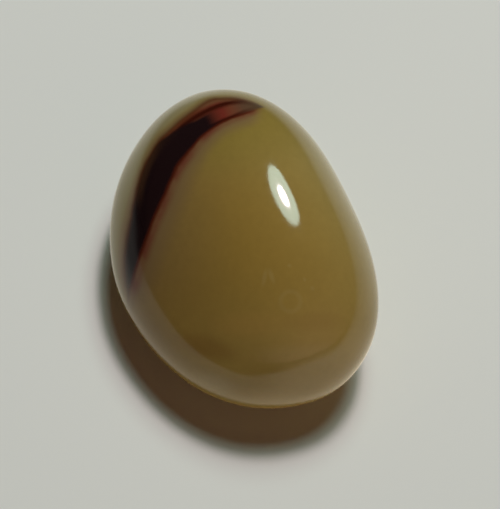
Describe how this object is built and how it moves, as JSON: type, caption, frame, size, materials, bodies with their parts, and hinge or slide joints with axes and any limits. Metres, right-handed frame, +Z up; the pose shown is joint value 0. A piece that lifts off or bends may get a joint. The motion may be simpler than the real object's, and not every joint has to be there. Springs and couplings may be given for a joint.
{
  "type": "tumbled stone",
  "caption": "Polished mookaite jasper pebble: a plump lopsided egg of olive-ochre stone crossed near its narrow end by a nearly black band edged with red.",
  "frame": {"origin": "middle of the stone's outline seen from above, on the surface that it rests on", "axes": "+Z up as it lies, +Y along the stone towards its narrow end, +X to its steeper, flatter side"},
  "size_m": [0.021, 0.0302, 0.0169],
  "materials": {
    "polished_jasper": "polished to a high gloss, olive-ochre with a nearly black band edged with red"
  },
  "bodies": {
    "root": {"stone": "polished_jasper"}
  },
  "joints": []
}
